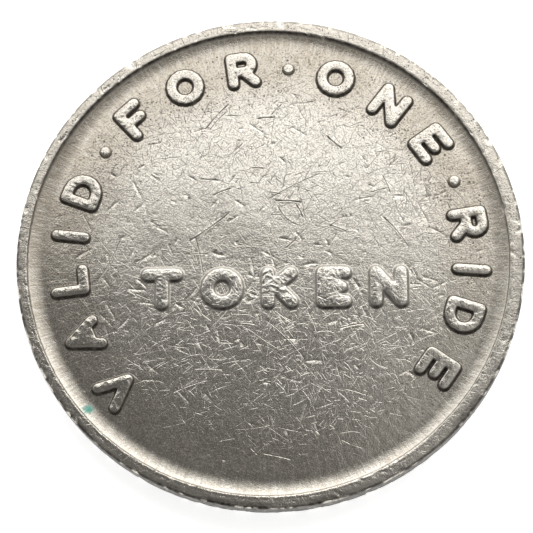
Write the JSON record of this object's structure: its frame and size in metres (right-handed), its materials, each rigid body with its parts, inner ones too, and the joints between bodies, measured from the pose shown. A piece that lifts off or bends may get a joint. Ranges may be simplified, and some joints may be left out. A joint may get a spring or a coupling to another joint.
{
  "type": "transit token",
  "caption": "Round struck metal fare token with a raised rim, a raised legend round the rim, a raised word across the middle and a tramcar front on the reverse.",
  "frame": {"origin": "centre of the bottom: the middle of the plane that the reverse rim rests on", "axes": "+Z out of the obverse, along the disc's axis; +Y towards the top of the legend; +X to the right of the reader"},
  "size_m": [0.023, 0.023, 0.0012],
  "materials": {
    "struck_field": "circulated cupronickel: fine grain, handling scratches, grime in the corners",
    "worn_relief": "cupronickel worn smoother and brighter on the high points of the lettering",
    "reverse_relief": "cupronickel worn on the high points of the device"
  },
  "bodies": {
    "root": {"blank": "struck_field", "legend_letter_01_v": "worn_relief", "legend_letter_02_a": "worn_relief", "legend_letter_03_l": "worn_relief", "legend_letter_04_i": "worn_relief", "legend_letter_05_d": "worn_relief", "legend_letter_06_f": "worn_relief", "legend_letter_07_o": "worn_relief", "legend_letter_08_r": "worn_relief", "legend_letter_09_o": "worn_relief", "legend_letter_10_n": "worn_relief", "legend_letter_11_e": "worn_relief", "legend_letter_12_r": "worn_relief", "legend_letter_13_i": "worn_relief", "legend_letter_14_d": "worn_relief", "legend_letter_15_e": "worn_relief", "legend_pellet_1": "worn_relief", "legend_pellet_2": "worn_relief", "legend_pellet_3": "worn_relief", "word_letter_1_t": "worn_relief", "word_letter_2_o": "worn_relief", "word_letter_3_k": "worn_relief", "word_letter_4_e": "worn_relief", "word_letter_5_n": "worn_relief", "tram_body": "reverse_relief", "tram_headlamp_left": "reverse_relief", "tram_headlamp_right": "reverse_relief", "tram_bumper": "reverse_relief", "tram_pantograph": "reverse_relief", "track": "reverse_relief"}
  },
  "joints": []
}
